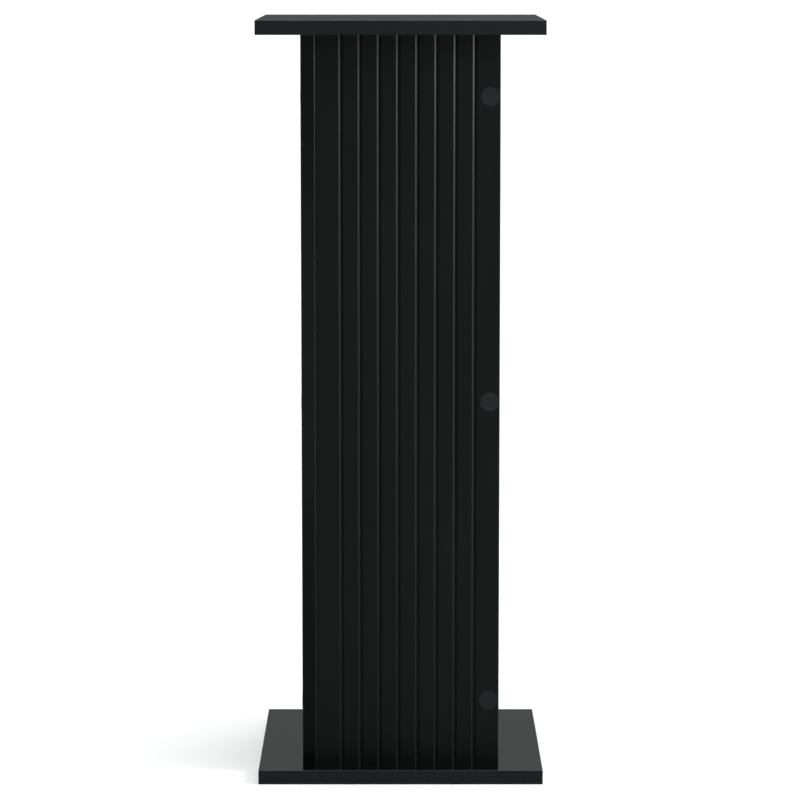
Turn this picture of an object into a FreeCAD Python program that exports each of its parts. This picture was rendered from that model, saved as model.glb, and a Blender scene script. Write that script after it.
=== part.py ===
import FreeCAD, Part
import os
import Sketcher

# A display plinth of 15 mm black-faced boards: a square base plate, a hollow column of four
# grooved panels that meet in a pinwheel, and a square top plate. Millimetres, +Z up, with the
# origin on the floor at the middle of the base plate. The front faces -Y.

doc = FreeCAD.newDocument("display_plinth")

# ---------------------------------------------------------------- driving dimensions

SIZES = [
    ("plate_side", 300, "side of the square top and base plates, over their edge bands"),
    ("board_thick", 15, "thickness of every board"),
    ("panel_height", 772, "height of the column panels, between the two plates"),
    ("panel_width", 194, "width of a column panel, from its butting end to its banded edge"),
    ("band_thick", 1, "thickness of the edge bands"),
    ("arris_round", 0.8, "rounding of a panel's butting end and of its band's outer edges"),
    ("plate_arris_round", 0.4, "rounding of the outer edges of the plates' bands"),
    ("groove_count", 8, "V grooves down a panel's face"),
    ("groove_pitch", 20, "distance from groove to groove"),
    ("groove_width", 5, "width of a groove at the face"),
    ("groove_depth", 1.5, "depth of a groove"),
    ("screw_diameter", 4, "shank of the countersunk wood screws"),
    ("screw_length", 40, "length of the screws, over their heads"),
    ("screw_tip", 5, "length of the screws' points"),
    ("head_diameter", 8, "countersunk head of the screws"),
    ("drive_span", 4.6, "span of the cross recess in a head"),
    ("drive_slot", 1, "width of the cross recess's arms"),
    ("drive_depth", 1.5, "depth of the cross recess"),
    ("corner_screw_count", 3, "screws up each corner joint"),
    ("corner_screw_inset", 65, "first and last corner screw, from the panel's ends"),
    ("plate_screw_offset", 64, "screws through a plate, each side of a panel's middle"),
    ("cap_diameter", 20, "stick-on cover caps over the screw heads"),
    ("cap_thick", 0.2, "thickness of the cover caps"),
    ("cap_clearance", 0.1, "play around a cap that is let into the top plate"),
    ("dowel_diameter", 8, "beech locating dowels"),
    ("dowel_length", 30, "length of the dowels"),
    ("dowel_seat", 10, "depth of a dowel in a board's face"),
    ("dowel_chamfer", 0.8, "chamfer at the dowels' ends"),
    ("corner_dowel_inset", 225, "corner dowels, from the panel's ends"),
    ("fit_gap", 0.05, "play on the radius of a screw or dowel in its hole"),
    ("end_gap", 0.5, "free depth at the end of a blind hole"),
]

sheet = doc.addObject("Spreadsheet::Sheet", "Sizes")
for row, (alias, value, meaning) in enumerate(SIZES, start=1):
    sheet.set(f"A{row}", meaning)
    sheet.set(f"B{row}", str(value))
    sheet.setAlias(f"B{row}", alias)
doc.recompute()

# Sizes that follow from the driving ones, as expressions on the sheet.
COLUMN_HALF = "(Sizes.panel_width + Sizes.board_thick) / 2"
COLUMN_INSIDE = f"({COLUMN_HALF} - Sizes.board_thick)"
JOINT_LINE = f"({COLUMN_HALF} - Sizes.board_thick / 2)"
PLATE_HALF = "(Sizes.plate_side / 2)"
TOP_PLATE_HEIGHT = "Sizes.board_thick + Sizes.panel_height"
FIRST_GROOVE = (
    f"(-{COLUMN_INSIDE} + (Sizes.panel_width - (Sizes.groove_count - 1) * Sizes.groove_pitch) / 2)"
)
CAP_LINE = f"({COLUMN_HALF} - Sizes.arris_round - Sizes.cap_diameter / 2)"
SCREW_HOLE = "(Sizes.screw_diameter / 2 + Sizes.fit_gap)"
DOWEL_HOLE = "(Sizes.dowel_diameter / 2 + Sizes.fit_gap)"
HEAD_SEAT = "Sizes.head_diameter + 2 * Sizes.fit_gap"
HEAD_DEPTH = "(Sizes.head_diameter - Sizes.screw_diameter) / 2"
CORNER_SCREW_STEP = (
    "((Sizes.panel_height - 2 * Sizes.corner_screw_inset) / (Sizes.corner_screw_count - 1))"
)

TOLERANCE = 1e-4
SIDES = ["front", "right", "back", "left"]
CORNERS = ["front_right", "back_right", "back_left", "front_left"]


def size(expression):
    """The present value of an expression on the sheet."""
    return float(sheet.evalExpression(expression))


# ---------------------------------------------------------------- sketches and features


def new_body(label, height="0", quarter_turns=0):
    """A body that stands at a height, turned about the plinth's axis by quarter turns."""
    body = doc.addObject("PartDesign::Body", label)
    body.Label = label
    body.AllowCompound = True
    turn = FreeCAD.Rotation(FreeCAD.Vector(0, 0, 1), 90 * quarter_turns)
    body.Placement = FreeCAD.Placement(FreeCAD.Vector(0, 0, 0), turn)
    body.setExpression("Placement.Base.z", height)
    return body


def origin_feature(body, role):
    return next(feature for feature in body.Origin.OriginFeatures if feature.Role == role)


def new_sketch(body, name, plane, offset="0"):
    """A sketch parallel to one of the body's own planes, moved along that plane's normal."""
    sketch = body.newObject("Sketcher::SketchObject", name)
    sketch.AttachmentSupport = [(origin_feature(body, plane), "")]
    sketch.MapMode = "FlatFace"
    sketch.setExpression("AttachmentOffset.Base.z", offset)
    return sketch


def pin_point(sketch, geometry, point, x, y):
    """Hold one point of the sketch at two expressions, measured from the sketch's origin.

    An expression that names no size is a plain zero, and puts the point on the axis.
    """
    for kind, expression, axis in (("DistanceX", x, -2), ("DistanceY", y, -1)):
        if "Sizes" not in expression:
            sketch.addConstraint(Sketcher.Constraint("PointOnObject", geometry, point, axis))
            continue
        value = size(expression)
        number = sketch.addConstraint(
            Sketcher.Constraint(kind, -1, 1, geometry, point, value)
        )
        sketch.setExpression(f"Constraints[{number}]", expression)


def draw_polygon(sketch, corners):
    """A closed outline through corners given as pairs of expressions."""
    first = sketch.GeometryCount
    points = [FreeCAD.Vector(size(x), size(y), 0) for x, y in corners]
    for start, end in zip(points, points[1:] + points[:1]):
        sketch.addGeometry(Part.LineSegment(start, end))
    for index, (x, y) in enumerate(corners):
        line = first + index
        following = first + (index + 1) % len(corners)
        sketch.addConstraint(Sketcher.Constraint("Coincident", line, 2, following, 1))
        pin_point(sketch, line, 1, x, y)


def draw_rectangle(sketch, left, bottom, right, top):
    draw_polygon(sketch, [(left, bottom), (right, bottom), (right, top), (left, top)])


def draw_circles(sketch, centres, radius):
    """Circles of one radius around centres given as pairs of expressions."""
    normal = FreeCAD.Vector(0, 0, 1)
    for x, y in centres:
        centre = FreeCAD.Vector(size(x), size(y), 0)
        circle = sketch.addGeometry(Part.Circle(centre, normal, size(radius)))
        pin_point(sketch, circle, 3, x, y)
        number = sketch.addConstraint(Sketcher.Constraint("Radius", circle, size(radius)))
        sketch.setExpression(f"Constraints[{number}]", radius)


def pad(body, sketch, length):
    feature = body.newObject("PartDesign::Pad", f"{sketch.Name}_pad")
    feature.Profile = sketch
    feature.setExpression("Length", length)
    return feature


def pocket(body, sketch, depth, along_normal=False):
    """Cut a sketch into the body, against the sketch's normal unless told otherwise."""
    before = solid_volume(body)
    feature = body.newObject("PartDesign::Pocket", f"{sketch.Name}_pocket")
    feature.Profile = sketch
    feature.Reversed = along_normal
    feature.setExpression("Length", depth)
    require_cut(body, before, feature)
    return feature


def countersunk_holes(body, sketch, depth, along_normal=False):
    """Clearance holes for the screws, each with a 90 degree seat for the head."""
    before = solid_volume(body)
    feature = body.newObject("PartDesign::Hole", f"{sketch.Name}_holes")
    feature.Profile = sketch
    feature.Reversed = along_normal
    feature.ThreadType = "None"
    feature.DepthType = "Dimension"
    feature.DrillPoint = "Flat"
    feature.HoleCutType = "Countersink"
    feature.HoleCutCustomValues = True
    feature.HoleCutCountersinkAngle = 90
    feature.setExpression("Diameter", f"2 * {SCREW_HOLE}")
    feature.setExpression("Depth", depth)
    feature.setExpression("HoleCutDiameter", HEAD_SEAT)
    require_cut(body, before, feature)
    return feature


def solid_volume(body):
    doc.recompute()
    return body.Shape.Volume


def require_cut(body, before, feature):
    if solid_volume(body) > before - TOLERANCE:
        raise RuntimeError(f"{feature.Name} cut nothing")


def round_edges(body, base, radius, wanted):
    """Round the edges of a feature that a test on their middle point picks out."""
    doc.recompute()
    names = [
        f"Edge{number}"
        for number, edge in enumerate(base.Shape.Edges, start=1)
        if wanted(edge.BoundBox.Center)
    ]
    feature = body.newObject("PartDesign::Fillet", f"{base.Name}_round")
    feature.Base = (base, names)
    feature.setExpression("Radius", radius)
    return feature


def chamfer_edges(body, base, width, wanted):
    """Chamfer the edges of a feature that a test on the edge picks out."""
    doc.recompute()
    names = [
        f"Edge{number}"
        for number, edge in enumerate(base.Shape.Edges, start=1)
        if wanted(edge)
    ]
    feature = body.newObject("PartDesign::Chamfer", f"{base.Name}_chamfer")
    feature.Base = (base, names)
    feature.setExpression("Size", width)
    return feature


def near(value, expression):
    return abs(value - size(expression)) < TOLERANCE


def quarter_turned(x, y):
    """The four places that a place takes when it is turned about the plinth's axis."""
    return [(x, y), (f"-({y})", x), (f"-({x})", f"-({y})"), (y, f"-({x})")]


def corner_screw_heights():
    count = int(size("Sizes.corner_screw_count"))
    return [f"Sizes.corner_screw_inset + {step} * {CORNER_SCREW_STEP}" for step in range(count)]


def corner_dowel_heights():
    return ["Sizes.corner_dowel_inset", "Sizes.panel_height - Sizes.corner_dowel_inset"]


def plate_screw_places():
    """Two screws over each panel, on the middle line of its thickness."""
    places = []
    for sign in ("-", ""):
        places += quarter_turned(f"{sign}Sizes.plate_screw_offset", f"-{JOINT_LINE}")
    return places


def plate_dowel_places():
    """One dowel over the middle of each panel's place."""
    return quarter_turned("0", f"-{JOINT_LINE}")


# ---------------------------------------------------------------- the plates


def make_plate_board(label, height):
    """The bare board of a plate, smaller than the finished plate by its edge bands."""
    body = new_body(label, height)
    edge = f"({PLATE_HALF} - Sizes.band_thick)"
    outline = new_sketch(body, f"{label}_outline", "XY_Plane")
    draw_rectangle(outline, f"-{edge}", f"-{edge}", edge, edge)
    pad(body, outline, "Sizes.board_thick")
    return body


def make_top_plate():
    """Screwed down from above, with its cover caps let in flush so that the top stays flat."""
    body = make_plate_board("top_plate", TOP_PLATE_HEIGHT)

    recesses = new_sketch(body, "cap_recesses", "XY_Plane", "Sizes.board_thick")
    draw_circles(
        recesses, plate_screw_places(), "Sizes.cap_diameter / 2 + Sizes.cap_clearance"
    )
    pocket(body, recesses, "Sizes.cap_thick")

    screws = new_sketch(
        body, "top_screw_centres", "XY_Plane", "Sizes.board_thick - Sizes.cap_thick"
    )
    draw_circles(screws, plate_screw_places(), SCREW_HOLE)
    countersunk_holes(body, screws, "Sizes.board_thick")

    dowels = new_sketch(body, "top_dowel_holes", "XY_Plane")
    draw_circles(dowels, plate_dowel_places(), DOWEL_HOLE)
    pocket(body, dowels, "Sizes.dowel_seat + Sizes.end_gap", along_normal=True)
    return body


def make_base_plate():
    """Screwed up into the panels from below, with the heads sunk flush in its underside."""
    body = make_plate_board("base_plate", "0")

    screws = new_sketch(body, "base_screw_centres", "XY_Plane")
    draw_circles(screws, plate_screw_places(), SCREW_HOLE)
    countersunk_holes(body, screws, "Sizes.board_thick + Sizes.end_gap", along_normal=True)

    dowels = new_sketch(body, "base_dowel_holes", "XY_Plane", "Sizes.board_thick")
    draw_circles(dowels, plate_dowel_places(), DOWEL_HOLE)
    pocket(body, dowels, "Sizes.dowel_seat + Sizes.end_gap")
    return body


def make_plate_band(plate, side, height, quarter_turns):
    """One edge band of a plate. The front and back ones cover the ends of the side ones."""
    label = f"{plate}_{side}_edge_band"
    body = new_body(label, height, quarter_turns)
    covers_corners = quarter_turns % 2 == 0
    reach = PLATE_HALF if covers_corners else f"({PLATE_HALF} - Sizes.band_thick)"
    outline = new_sketch(body, f"{label}_outline", "XY_Plane")
    draw_rectangle(
        outline, f"-{reach}", f"-{PLATE_HALF}", reach, f"-{PLATE_HALF} + Sizes.band_thick"
    )
    strip = pad(body, outline, "Sizes.board_thick")

    def on_outer_arris(middle):
        return near(middle.y, f"-{PLATE_HALF}") and near(middle.x, "0")

    round_edges(body, strip, "Sizes.plate_arris_round", on_outer_arris)
    return body


# ---------------------------------------------------------------- the column


def make_panel(side, quarter_turns):
    """A grooved panel. Its left end butts the inside of the panel before it."""
    label = f"{side}_panel"
    body = new_body(label, "Sizes.board_thick", quarter_turns)

    outline = new_sketch(body, f"{side}_outline", "XY_Plane")
    draw_rectangle(
        outline,
        f"-{COLUMN_INSIDE}",
        f"-{COLUMN_HALF}",
        f"{COLUMN_HALF} - Sizes.band_thick",
        f"-{COLUMN_INSIDE}",
    )
    board = pad(body, outline, "Sizes.panel_height")

    def on_butting_arris(middle):
        return near(middle.x, f"-{COLUMN_INSIDE}") and near(middle.y, f"-{COLUMN_HALF}")

    round_edges(body, board, "Sizes.arris_round", on_butting_arris)

    # The V is drawn as far outside the face as it goes in, so there it is twice as wide.
    groove = new_sketch(body, f"{side}_groove", "XY_Plane")
    outside = f"-{COLUMN_HALF} - Sizes.groove_depth"
    draw_polygon(
        groove,
        [
            (f"{FIRST_GROOVE} - Sizes.groove_width", outside),
            (f"{FIRST_GROOVE} + Sizes.groove_width", outside),
            (FIRST_GROOVE, f"-{COLUMN_HALF} + Sizes.groove_depth"),
        ],
    )
    first_groove = pocket(body, groove, "Sizes.panel_height", along_normal=True)
    grooves = body.newObject("PartDesign::LinearPattern", f"{side}_grooves")
    grooves.Originals = [first_groove]
    grooves.Direction = (groove, ["H_Axis"])
    grooves.setExpression("Length", "(Sizes.groove_count - 1) * Sizes.groove_pitch")
    grooves.setExpression("Occurrences", "Sizes.groove_count")
    body.Tip = grooves

    screw_heights = corner_screw_heights()
    dowel_heights = corner_dowel_heights()

    face_screws = new_sketch(body, f"{side}_face_screws", "XZ_Plane", COLUMN_HALF)
    draw_circles(face_screws, [(JOINT_LINE, z) for z in screw_heights], SCREW_HOLE)
    countersunk_holes(body, face_screws, "Sizes.board_thick + Sizes.end_gap")

    face_dowels = new_sketch(body, f"{side}_face_dowels", "XZ_Plane", COLUMN_INSIDE)
    draw_circles(face_dowels, [(JOINT_LINE, z) for z in dowel_heights], DOWEL_HOLE)
    pocket(body, face_dowels, "Sizes.dowel_seat + Sizes.end_gap", along_normal=True)

    end_screws = new_sketch(body, f"{side}_end_screws", "YZ_Plane", f"-{COLUMN_INSIDE}")
    draw_circles(end_screws, [(f"-{JOINT_LINE}", z) for z in screw_heights], SCREW_HOLE)
    pocket(
        body,
        end_screws,
        "Sizes.screw_length - Sizes.board_thick + Sizes.end_gap",
        along_normal=True,
    )

    end_dowels = new_sketch(body, f"{side}_end_dowels", "YZ_Plane", f"-{COLUMN_INSIDE}")
    draw_circles(end_dowels, [(f"-{JOINT_LINE}", z) for z in dowel_heights], DOWEL_HOLE)
    dowel_depth = "Sizes.dowel_length - Sizes.dowel_seat + Sizes.end_gap"
    pocket(body, end_dowels, dowel_depth, along_normal=True)

    screw_depths = {
        "foot": "Sizes.screw_length - Sizes.board_thick + Sizes.end_gap",
        "head": "Sizes.screw_length - Sizes.board_thick + Sizes.cap_thick + Sizes.end_gap",
    }
    offsets = ["-Sizes.plate_screw_offset", "Sizes.plate_screw_offset"]
    for end, height in (("foot", "0"), ("head", "Sizes.panel_height")):
        at_foot = end == "foot"
        pilots = new_sketch(body, f"{side}_{end}_screws", "XY_Plane", height)
        draw_circles(pilots, [(x, f"-{JOINT_LINE}") for x in offsets], SCREW_HOLE)
        pocket(body, pilots, screw_depths[end], along_normal=at_foot)
        dowel = new_sketch(body, f"{side}_{end}_dowel", "XY_Plane", height)
        draw_circles(dowel, [("0", f"-{JOINT_LINE}")], DOWEL_HOLE)
        pocket(body, dowel, dowel_depth, along_normal=at_foot)
    return body


def make_panel_band(side, quarter_turns):
    """The band on a panel's exposed long edge, which shows as a plain strip at the corner."""
    label = f"{side}_panel_edge_band"
    body = new_body(label, "Sizes.board_thick", quarter_turns)
    outline = new_sketch(body, f"{label}_outline", "XY_Plane")
    draw_rectangle(
        outline,
        f"{COLUMN_HALF} - Sizes.band_thick",
        f"-{COLUMN_HALF}",
        COLUMN_HALF,
        f"-{COLUMN_INSIDE}",
    )
    strip = pad(body, outline, "Sizes.panel_height")

    def on_outer_arris(middle):
        return near(middle.x, COLUMN_HALF) and near(middle.z, "Sizes.panel_height / 2")

    round_edges(body, strip, "Sizes.arris_round", on_outer_arris)
    return body


# ---------------------------------------------------------------- fasteners


def draw_screw_profile(sketch, axis, top, run):
    """Half a countersunk screw: its head's flat at top, its point a length away along run."""
    head = "Sizes.head_diameter / 2"
    shank = "Sizes.screw_diameter / 2"
    draw_polygon(
        sketch,
        [
            (axis, top),
            (f"{axis} + {head}", top),
            (f"{axis} + {shank}", f"{top} {run} {HEAD_DEPTH}"),
            (f"{axis} + {shank}", f"{top} {run} (Sizes.screw_length - Sizes.screw_tip)"),
            (axis, f"{top} {run} Sizes.screw_length"),
        ],
    )


def draw_cross(sketch, x, y):
    """The outline of a cross recess around a point."""
    reach = "Sizes.drive_span / 2"
    slot = "Sizes.drive_slot / 2"
    quadrant = [(slot, reach), (slot, slot), (reach, slot)]
    corners = []
    for along, across in quadrant:
        corners.append((f"{x} + {along}", f"{y} + {across}"))
    for along, across in reversed(quadrant):
        corners.append((f"{x} + {along}", f"{y} - {across}"))
    for along, across in quadrant:
        corners.append((f"{x} - {along}", f"{y} - {across}"))
    for along, across in reversed(quadrant):
        corners.append((f"{x} - {along}", f"{y} + {across}"))
    draw_polygon(sketch, corners)


def revolve(body, sketch):
    """Turn a profile about the side of it that was drawn last, which lies on its axis."""
    feature = body.newObject("PartDesign::Revolution", f"{sketch.Name}_turned")
    feature.Profile = sketch
    feature.ReferenceAxis = (sketch, [f"Edge{sketch.GeometryCount}"])
    feature.Angle = 360
    return feature


def make_corner_screws(corner, quarter_turns):
    """Countersunk screws through one panel's face into the end of the next panel."""
    body = new_body(f"{corner}_corner_screws", "Sizes.board_thick", quarter_turns)
    profile = new_sketch(body, f"{corner}_screw", "XY_Plane", "Sizes.corner_screw_inset")
    draw_screw_profile(profile, JOINT_LINE, f"-{COLUMN_HALF}", "+")
    screw = revolve(body, profile)
    row = body.newObject("PartDesign::LinearPattern", f"{corner}_screw_row")
    row.Originals = [screw]
    row.Direction = (origin_feature(body, "Z_Axis"), [""])
    row.setExpression("Length", "Sizes.panel_height - 2 * Sizes.corner_screw_inset")
    row.setExpression("Occurrences", "Sizes.corner_screw_count")
    body.Tip = row
    drives = new_sketch(body, f"{corner}_screw_drives", "XZ_Plane", COLUMN_HALF)
    for height in corner_screw_heights():
        draw_cross(drives, JOINT_LINE, height)
    pocket(body, drives, "Sizes.drive_depth")
    return body


def make_plate_screws(plate, height, head_level, run):
    """Eight countersunk screws through a plate, two into the end of each panel."""
    body = new_body(f"{plate}_screws", height)
    screws = []
    for name, sign in (("left", "-"), ("right", "")):
        profile = new_sketch(body, f"{plate}_{name}_screw", "XZ_Plane", JOINT_LINE)
        draw_screw_profile(profile, f"{sign}Sizes.plate_screw_offset", head_level, run)
        screws.append(revolve(body, profile))
    ring = body.newObject("PartDesign::PolarPattern", f"{plate}_screw_ring")
    ring.Originals = screws
    ring.Axis = (origin_feature(body, "Z_Axis"), [""])
    ring.Angle = 360
    ring.Occurrences = len(SIDES)
    body.Tip = ring
    drives = new_sketch(body, f"{plate}_screw_drives", "XY_Plane", head_level)
    for x, y in plate_screw_places():
        draw_cross(drives, x, y)
    pocket(body, drives, "Sizes.drive_depth", along_normal=run == "+")
    return body


def make_caps(label, height, quarter_turns, plane, level, places):
    """Stick-on cover caps: thin discs with an eased rim."""
    body = new_body(label, height, quarter_turns)
    discs = new_sketch(body, f"{label}_discs", plane, level)
    draw_circles(discs, places, "Sizes.cap_diameter / 2")
    caps = pad(body, discs, "Sizes.cap_thick")
    outer = f"{level} + Sizes.cap_thick"
    across_panel = plane == "XZ_Plane"

    def on_rim(edge):
        middle = edge.BoundBox.Center
        along_normal = -middle.y if across_panel else middle.z
        return near(along_normal, outer)

    chamfer_edges(body, caps, "Sizes.cap_thick / 4", on_rim)
    return body


def make_dowels(label, height, quarter_turns, plane, level, places):
    """Locating dowels of one joint, chamfered at both ends."""
    body = new_body(label, height, quarter_turns)
    sections = new_sketch(body, f"{label}_sections", plane, level)
    draw_circles(sections, places, "Sizes.dowel_diameter / 2")
    rods = pad(body, sections, "Sizes.dowel_length")

    def on_end(edge):
        return edge.Closed

    chamfer_edges(body, rods, "Sizes.dowel_chamfer", on_end)
    return body


# ---------------------------------------------------------------- the plinth

pieces = [make_base_plate(), make_top_plate()]
for turn, side_name in enumerate(SIDES):
    pieces.append(make_plate_band("base_plate", side_name, "0", turn))
    pieces.append(make_plate_band("top_plate", side_name, TOP_PLATE_HEIGHT, turn))
    pieces.append(make_panel(side_name, turn))
    pieces.append(make_panel_band(side_name, turn))

for turn, corner_name in enumerate(CORNERS):
    pieces.append(make_corner_screws(corner_name, turn))
    pieces.append(
        make_caps(
            f"{corner_name}_corner_screw_caps",
            "Sizes.board_thick",
            turn,
            "XZ_Plane",
            COLUMN_HALF,
            [(CAP_LINE, z) for z in corner_screw_heights()],
        )
    )
    pieces.append(
        make_dowels(
            f"{corner_name}_corner_dowels",
            "Sizes.board_thick",
            turn,
            "XZ_Plane",
            f"{COLUMN_INSIDE} + Sizes.dowel_seat - Sizes.dowel_length",
            [(JOINT_LINE, z) for z in corner_dowel_heights()],
        )
    )

TOP_HEAD_LEVEL = "(Sizes.board_thick - Sizes.cap_thick)"
pieces.append(make_plate_screws("top_plate", TOP_PLATE_HEIGHT, TOP_HEAD_LEVEL, "-"))
pieces.append(make_plate_screws("base_plate", "0", "0", "+"))
pieces.append(
    make_caps(
        "top_plate_screw_caps",
        TOP_PLATE_HEIGHT,
        0,
        "XY_Plane",
        TOP_HEAD_LEVEL,
        plate_screw_places(),
    )
)
pieces.append(
    make_dowels(
        "top_plate_dowels",
        TOP_PLATE_HEIGHT,
        0,
        "XY_Plane",
        "Sizes.dowel_seat - Sizes.dowel_length",
        plate_dowel_places(),
    )
)
pieces.append(
    make_dowels(
        "base_plate_dowels",
        "0",
        0,
        "XY_Plane",
        "Sizes.board_thick - Sizes.dowel_seat",
        plate_dowel_places(),
    )
)

doc.recompute()

# ---------------------------------------------------------------- check and write

for item in doc.Objects:
    if "Invalid" in item.State or "Error" in item.State:
        raise RuntimeError(f"{item.Name} did not compute: {item.State}")
for piece in pieces:
    if piece.Shape.isNull() or not piece.Shape.isValid():
        raise RuntimeError(f"{piece.Label} has no valid shape")

os.makedirs("parts", exist_ok=True)
for piece in pieces:
    piece.Shape.exportStep(f"parts/{piece.Label}.step")
    box = piece.Shape.BoundBox
    print(
        f"{piece.Label:34s} solids {len(piece.Shape.Solids)}  volume {piece.Shape.Volume:12.2f}"
        f"  z {box.ZMin:7.2f} to {box.ZMax:7.2f}"
    )
print(f"{len(pieces)} nodes")
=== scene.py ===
import math
import bpy
from mathutils import Matrix, Vector


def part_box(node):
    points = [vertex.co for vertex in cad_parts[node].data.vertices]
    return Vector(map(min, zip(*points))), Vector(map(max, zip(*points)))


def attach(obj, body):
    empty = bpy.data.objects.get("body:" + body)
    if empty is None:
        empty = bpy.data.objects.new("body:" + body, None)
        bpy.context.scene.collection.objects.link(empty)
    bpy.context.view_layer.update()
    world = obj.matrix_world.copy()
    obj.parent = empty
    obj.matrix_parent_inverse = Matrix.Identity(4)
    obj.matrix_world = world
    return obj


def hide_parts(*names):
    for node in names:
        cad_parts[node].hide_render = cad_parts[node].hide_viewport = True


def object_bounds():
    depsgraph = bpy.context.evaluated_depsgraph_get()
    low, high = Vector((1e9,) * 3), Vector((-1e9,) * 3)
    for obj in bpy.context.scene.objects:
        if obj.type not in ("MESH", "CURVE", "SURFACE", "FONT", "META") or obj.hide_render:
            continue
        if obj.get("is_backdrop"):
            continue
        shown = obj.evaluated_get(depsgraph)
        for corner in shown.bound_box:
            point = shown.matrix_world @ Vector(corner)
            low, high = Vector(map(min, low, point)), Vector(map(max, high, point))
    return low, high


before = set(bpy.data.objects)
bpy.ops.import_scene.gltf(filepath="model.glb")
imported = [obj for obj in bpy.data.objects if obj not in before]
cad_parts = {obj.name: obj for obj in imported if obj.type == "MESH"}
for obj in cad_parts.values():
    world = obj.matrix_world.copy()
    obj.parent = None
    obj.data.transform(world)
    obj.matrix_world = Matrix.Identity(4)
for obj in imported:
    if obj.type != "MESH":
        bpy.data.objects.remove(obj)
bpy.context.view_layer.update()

# ---------------------------------------------------------------- base plate
# A square of 15 mm particle board faced with near-black melamine, smooth enough to mirror
# the column's foot at a low angle. It is sawn to size and drilled for the screws that come
# up through it into the column's panels.

PLASTIC_IOR = 1.5


def feed_node(tree, node, feeds):
    """Gives a node's sockets their values, or joins them to other nodes' outputs."""
    for socket, value in feeds.items():
        if isinstance(value, bpy.types.NodeSocket):
            tree.links.new(value, node.inputs[socket])
        else:
            node.inputs[socket].default_value = value


def add_node(tree, kind, feeds=None, **settings):
    node = tree.nodes.new(kind)
    for name, value in settings.items():
        setattr(node, name, value)
    feed_node(tree, node, feeds or {})
    return node


def start_material(name):
    """A material with its node tree and its Principled shader."""
    material = bpy.data.materials.new(name)
    material.use_nodes = True
    tree = material.node_tree
    return material, tree, tree.nodes["Principled BSDF"]


def noise(tree, scale, detail, stretch=(1, 1, 1)):
    """Noise in the object's own metres. A stretch under 1 draws it out along that axis."""
    place = add_node(tree, "ShaderNodeTexCoord").outputs["Object"]
    mapping = add_node(tree, "ShaderNodeMapping", {"Vector": place, "Scale": stretch})
    feeds = {"Vector": mapping.outputs["Vector"], "Scale": scale, "Detail": detail}
    return add_node(tree, "ShaderNodeTexNoise", feeds).outputs["Fac"]


def spread(tree, value, low, high, start=0.3, stop=0.7):
    """Maps the middle of a noise's range onto the values from low to high."""
    names = ("Value", "From Min", "From Max", "To Min", "To Max")
    feeds = dict(zip(names, (value, start, stop, low, high)))
    return add_node(tree, "ShaderNodeMapRange", feeds).outputs["Result"]


def mottle(tree, shader, value, dark, light):
    """A colour that wanders between two near shades."""
    mix = add_node(tree, "ShaderNodeMix", {"Factor": value}, data_type="RGBA")
    mix.inputs["A"].default_value = (*dark, 1)
    mix.inputs["B"].default_value = (*light, 1)
    feed_node(tree, shader, {"Base Color": mix.outputs["Result"]})


def emboss(tree, shader, height, depth):
    """Raises the finish's grain by a depth in metres."""
    feeds = {"Height": height, "Distance": depth, "Strength": 1.0}
    bump = add_node(tree, "ShaderNodeBump", feeds)
    feed_node(tree, shader, {"Normal": bump.outputs["Normal"]})


def black_melamine():
    """The plates' facing: near-black and glossy, with a very fine pebble."""
    material, tree, shader = start_material("black_melamine")
    broad = noise(tree, 9, 3)
    pebble = noise(tree, 1400, 2)
    shade = spread(tree, broad, 0, 1)
    mottle(tree, shader, shade, (0.0010, 0.0016, 0.0014), (0.0018, 0.0024, 0.0022))
    feed_node(tree, shader, {"Roughness": spread(tree, broad, 0.09, 0.12)})
    emboss(tree, shader, pebble, 0.000002)
    shader.inputs["IOR"].default_value = PLASTIC_IOR
    shader.inputs["Specular IOR Level"].default_value = 0.5
    return material


def dress_node(name, material):
    """Gives a CAD node that stays as it is its finish."""
    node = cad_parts[name]
    node.data.materials.clear()
    node.data.materials.append(material)
    for face in node.data.polygons:
        face.material_index = 0


melamine = black_melamine()
dress_node("base_plate", melamine)

# ---------------------------------------------------------------- base plate's edge bands
# Black ABS strip, 1 mm thick, hot-glued round the sawn edges of the base plate. The front
# and back strips cover the ends of the side ones, and the outer arrises are milled round.

BAND_THICK = 0.001
PLATE_ARRIS_ROUND = 0.0004
ARRIS_STEPS = 6
WELD_GAP = 1e-6
SLANTED = 0.01
SIDES = ["front", "right", "back", "left"]


def start_tree(name, inputs):
    """A Geometry Nodes tree with named inputs and one mesh to give back."""
    tree = bpy.data.node_groups.new(name, "GeometryNodeTree")
    for label, kind in inputs.items():
        tree.interface.new_socket(label, in_out="INPUT", socket_type=f"NodeSocket{kind}")
    tree.interface.new_socket("Mesh", in_out="OUTPUT", socket_type="NodeSocketGeometry")
    return tree, tree.nodes.new("NodeGroupInput").outputs


def end_tree(tree, shape, material, *trims):
    """Realizes what the tree has made, gives it its material and hands it back.

    Each trim is a selection of its faces and the material they have instead.
    """
    painted = add_node(tree, "GeometryNodeRealizeInstances", {"Geometry": shape})
    for faces, finish in [(True, material), *trims]:
        feeds = {"Geometry": painted.outputs["Geometry"], "Selection": faces, "Material": finish}
        painted = add_node(tree, "GeometryNodeSetMaterial", feeds)
    end = tree.nodes.new("NodeGroupOutput")
    tree.links.new(painted.outputs["Geometry"], end.inputs["Mesh"])


def sum_up(tree, operation, first, second=0.0, third=0.0):
    """One step of arithmetic in a tree."""
    node = add_node(tree, "ShaderNodeMath", operation=operation)
    feed_node(tree, node, {0: first, 1: second, 2: third})
    return node.outputs["Value"]


def join_axes(tree, x=0.0, y=0.0, z=0.0):
    return add_node(tree, "ShaderNodeCombineXYZ", {"X": x, "Y": y, "Z": z}).outputs["Vector"]


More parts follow.
